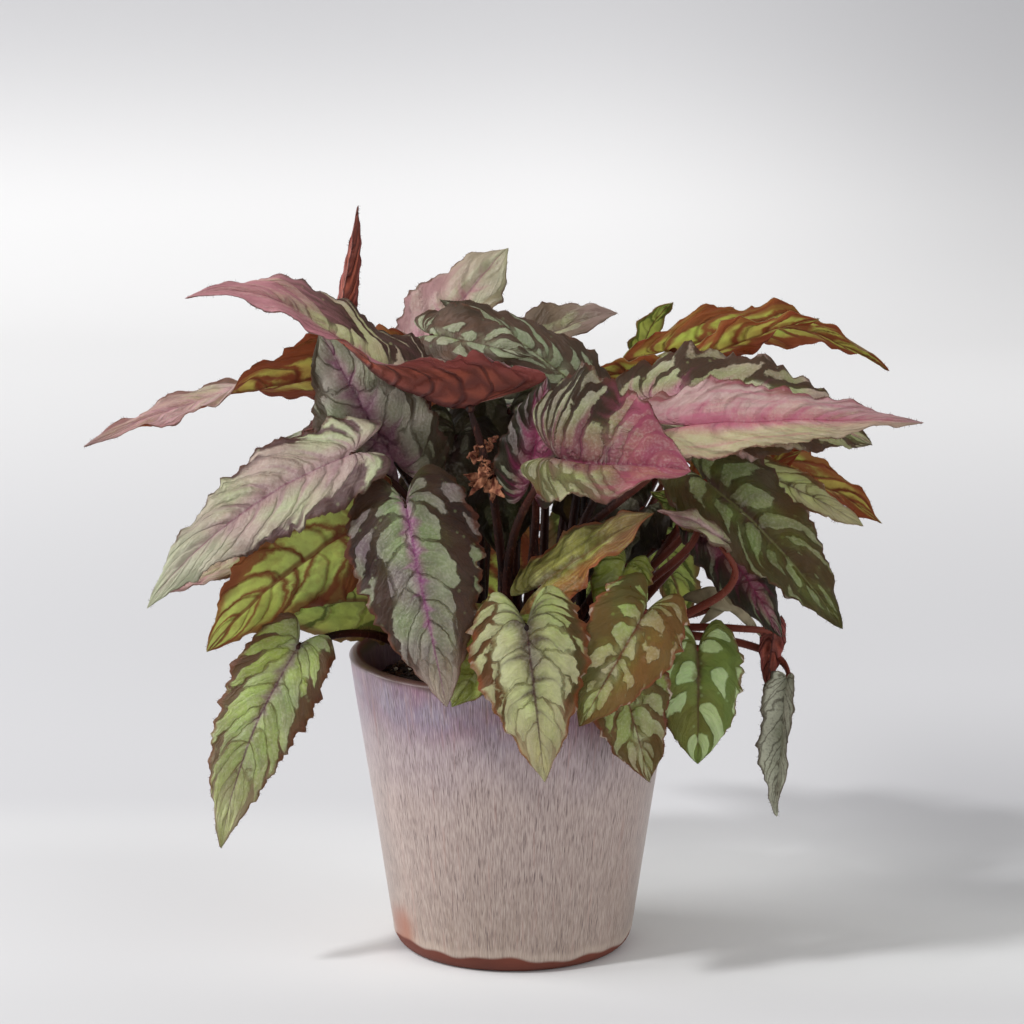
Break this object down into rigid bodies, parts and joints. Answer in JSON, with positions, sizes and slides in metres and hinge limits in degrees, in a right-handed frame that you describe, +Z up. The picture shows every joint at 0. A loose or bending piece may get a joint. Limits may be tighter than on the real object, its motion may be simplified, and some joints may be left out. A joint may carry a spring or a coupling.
{
  "type": "potted rex begonia",
  "caption": "Rex begonia in a tapered glazed stoneware pot: toothed silver, pink and green leaves with red undersides on long stalks from a rhizome in soil.",
  "frame": {"origin": "centre of the pot's flat foot, on the pot's axis", "axes": "+Z up along the pot's axis, -Y towards the viewer of the plant's front, +X to the right"},
  "size_m": [0.3721, 0.2949, 0.34],
  "materials": {
    "pot_glaze": "stoneware with a satin reactive glaze, plum grey at the rim fading to greige, bare red-brown clay at the foot",
    "potting_soil": "dark crumbly potting soil",
    "stalk": "red-brown hairy leaf stalks and a knobbly brown rhizome",
    "leaf_silver": "silver-green patches between dark veins, purple along the midrib",
    "leaf_rose": "pink and crimson along the veins, pale green edges",
    "leaf_green": "light green between purple-brown veins, orange-brown toothed edge",
    "leaf_dark": "dark green and brown with silver-green spots",
    "leaf_underside": "underside with raised red veins and yellow-green cells that let light through",
    "leaf_withered": "dry crumpled grey-green and brown leaf"
  },
  "bodies": {
    "root": {"pot": "pot_glaze", "soil": "potting_soil", "rhizome_and_stalks": "stalk", "dried_spray": "leaf_withered", "leaf_01": "leaf_underside", "leaf_02": "leaf_rose", "leaf_03": "leaf_underside", "leaf_04": "leaf_silver", "leaf_05": "leaf_silver", "leaf_06": "leaf_rose", "leaf_07": "leaf_underside", "leaf_08": "leaf_underside", "leaf_09": "leaf_green", "leaf_10": "leaf_silver", "leaf_11": "leaf_green", "leaf_12": "leaf_green", "leaf_13": "leaf_dark", "leaf_14": "leaf_green", "leaf_15": "leaf_dark", "leaf_16": "leaf_rose", "leaf_17": "leaf_rose", "leaf_18": "leaf_green", "leaf_19": "leaf_green", "leaf_20": "leaf_dark", "leaf_21": "leaf_dark", "leaf_22": "leaf_underside", "leaf_23": "leaf_underside", "leaf_24": "leaf_silver", "leaf_25": "leaf_rose", "leaf_26": "leaf_silver", "leaf_27": "leaf_underside", "leaf_28": "leaf_underside", "leaf_29": "leaf_green", "leaf_30": "leaf_underside", "leaf_31": "leaf_rose", "leaf_32": "leaf_silver", "leaf_33": "leaf_silver", "leaf_34": "leaf_silver", "leaf_35": "leaf_underside", "leaf_36": "leaf_rose", "leaf_37": "leaf_underside", "leaf_38": "leaf_dark", "leaf_39": "leaf_dark", "leaf_40": "leaf_withered", "leaf_41": "leaf_silver", "leaf_42": "leaf_rose", "leaf_43": "leaf_silver", "leaf_44": "leaf_green", "leaf_45": "leaf_dark", "leaf_46": "leaf_green", "leaf_47": "leaf_silver", "leaf_48": "leaf_dark", "leaf_49": "leaf_green", "leaf_50": "leaf_rose", "leaf_51": "leaf_silver", "leaf_52": "leaf_green", "leaf_53": "leaf_dark", "leaf_54": "leaf_underside"}
  },
  "joints": []
}
